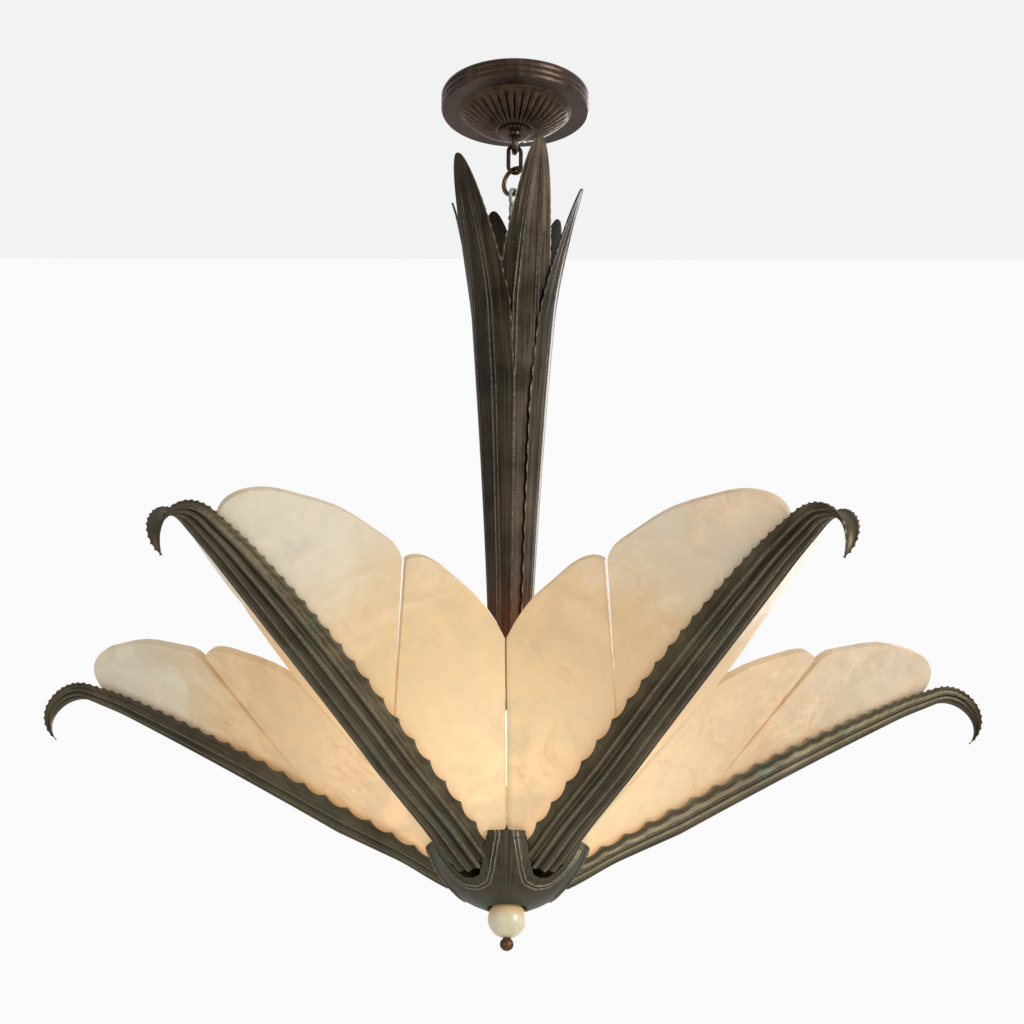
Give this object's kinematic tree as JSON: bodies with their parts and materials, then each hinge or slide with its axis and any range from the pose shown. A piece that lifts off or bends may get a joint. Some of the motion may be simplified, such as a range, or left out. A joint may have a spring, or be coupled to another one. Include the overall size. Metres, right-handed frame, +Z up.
{
  "type": "pendant light",
  "caption": "Hanging light with serrated bronze leaf arms and flat alabaster panels around a lobed hub, hung by ring and link from a fluted canopy.",
  "frame": {"origin": "centre of the ceiling plate: middle of the crossbar's two screw slots, in the plane of the ceiling", "axes": "+Z up into the ceiling, -Y towards the side between arms 1 and 5 that the picture shows as the front, +X to the right of it"},
  "size_m": [0.8812, 0.8384, 0.8365],
  "materials": {
    "arm_bronze": "dark olive-brown patina, worn lighter on the ridges, a little green in the hollows",
    "canopy_bronze": "dark brown patina with reddish wear on the flutes and mouldings",
    "chain_bronze": "rusty brown, rubbed where the wires bear",
    "verdigris_bronze": "pale green verdigris over brown",
    "alabaster": "honed translucent alabaster, cream to amber, soft veins and cloudy patches",
    "ball_alabaster": "polished pale cream alabaster",
    "fitting_steel": "plain zinc-plated fittings, hidden inside",
    "porcelain": "white glazed lampholder",
    "bulb_glass": "frosted warm-white candle bulb"
  },
  "bodies": {
    "canopy": {"crossbar": "fitting_steel", "crossbar_nut": "fitting_steel", "canopy_nipple": "fitting_steel", "canopy_shell": "canopy_bronze", "canopy_collar": "canopy_bronze", "canopy_loop": "canopy_bronze"},
    "link": {"chain_link": "chain_bronze"},
    "ring": {"suspension_ring": "chain_bronze"},
    "bulb_1": {"bulb_1": "bulb_glass"},
    "bulb_2": {"bulb_2": "bulb_glass"},
    "bulb_3": {"bulb_3": "bulb_glass"},
    "bulb_4": {"bulb_4": "bulb_glass"},
    "bulb_5": {"bulb_5": "bulb_glass"},
    "ball": {"finial_ball": "ball_alabaster"},
    "nut": {"finial_nut": "canopy_bronze"},
    "pendant": {"arm_1": "arm_bronze", "arm_2": "arm_bronze", "arm_3": "arm_bronze", "arm_4": "arm_bronze", "arm_5": "arm_bronze", "arm_screws": "fitting_steel", "finial_plug": "fitting_steel", "finial_rod": "fitting_steel", "hub_bowl": "arm_bronze", "hub_nut": "fitting_steel", "hub_spider": "arm_bronze", "lamp_plate": "fitting_steel", "lamp_spacer": "fitting_steel", "lampholders": "porcelain", "panel_inner_left_1": "alabaster", "panel_inner_left_2": "alabaster", "panel_inner_left_3": "alabaster", "panel_inner_left_4": "alabaster", "panel_inner_left_5": "alabaster", "panel_inner_right_1": "alabaster", "panel_inner_right_2": "alabaster", "panel_inner_right_3": "alabaster", "panel_inner_right_4": "alabaster", "panel_inner_right_5": "alabaster", "panel_outer_left_1": "alabaster", "panel_outer_left_2": "alabaster", "panel_outer_left_3": "alabaster", "panel_outer_left_4": "alabaster", "panel_outer_left_5": "alabaster", "panel_outer_right_1": "alabaster", "panel_outer_right_2": "alabaster", "panel_outer_right_3": "alabaster", "panel_outer_right_4": "alabaster", "panel_outer_right_5": "alabaster", "stem_foot": "arm_bronze", "stem_hanger": "verdigris_bronze", "stem_leaf_1": "arm_bronze", "stem_leaf_2": "arm_bronze", "stem_leaf_3": "arm_bronze", "stem_leaf_4": "arm_bronze", "stem_leaf_5": "arm_bronze", "stem_leaf_6": "arm_bronze", "stem_spacer": "arm_bronze", "stem_tube": "fitting_steel"}
  },
  "joints": [
    {"name": "link_swing", "type": "hinge", "parent": "canopy", "child": "link", "pos_m": [0, 0, -0.0563], "axis": [0.9397, 0.342, 0], "range_deg": [-15, 15]},
    {"name": "ring_swing", "type": "hinge", "parent": "link", "child": "ring", "pos_m": [0, 0, -0.08035], "axis": [-0.766, 0.6428, 0], "range_deg": [-15, 15]},
    {"name": "pendant_swing", "type": "hinge", "parent": "ring", "child": "pendant", "pos_m": [0, 0, -0.1029], "axis": [0.6428, 0.766, 0], "range_deg": [-12, 12]},
    {"name": "ball_turn", "type": "hinge", "parent": "pendant", "child": "ball", "pos_m": [0, 0, -0.8086], "axis": [0, 0, 1], "continuous": true},
    {"name": "nut_turn", "type": "hinge", "parent": "pendant", "child": "nut", "pos_m": [0, 0, -0.83], "axis": [0, 0, 1], "continuous": true},
    {"name": "bulb_1_turn", "type": "hinge", "parent": "pendant", "child": "bulb_1", "pos_m": [0.03614, -0.01174, -0.696], "axis": [0, 0, 1], "continuous": true},
    {"name": "bulb_2_turn", "type": "hinge", "parent": "pendant", "child": "bulb_2", "pos_m": [0.02234, 0.03074, -0.696], "axis": [0, 0, 1], "continuous": true},
    {"name": "bulb_3_turn", "type": "hinge", "parent": "pendant", "child": "bulb_3", "pos_m": [-0.02234, 0.03074, -0.696], "axis": [0, 0, 1], "continuous": true},
    {"name": "bulb_4_turn", "type": "hinge", "parent": "pendant", "child": "bulb_4", "pos_m": [-0.03614, -0.01174, -0.696], "axis": [0, 0, 1], "continuous": true},
    {"name": "bulb_5_turn", "type": "hinge", "parent": "pendant", "child": "bulb_5", "pos_m": [0, -0.038, -0.696], "axis": [0, 0, 1], "continuous": true}
  ]
}
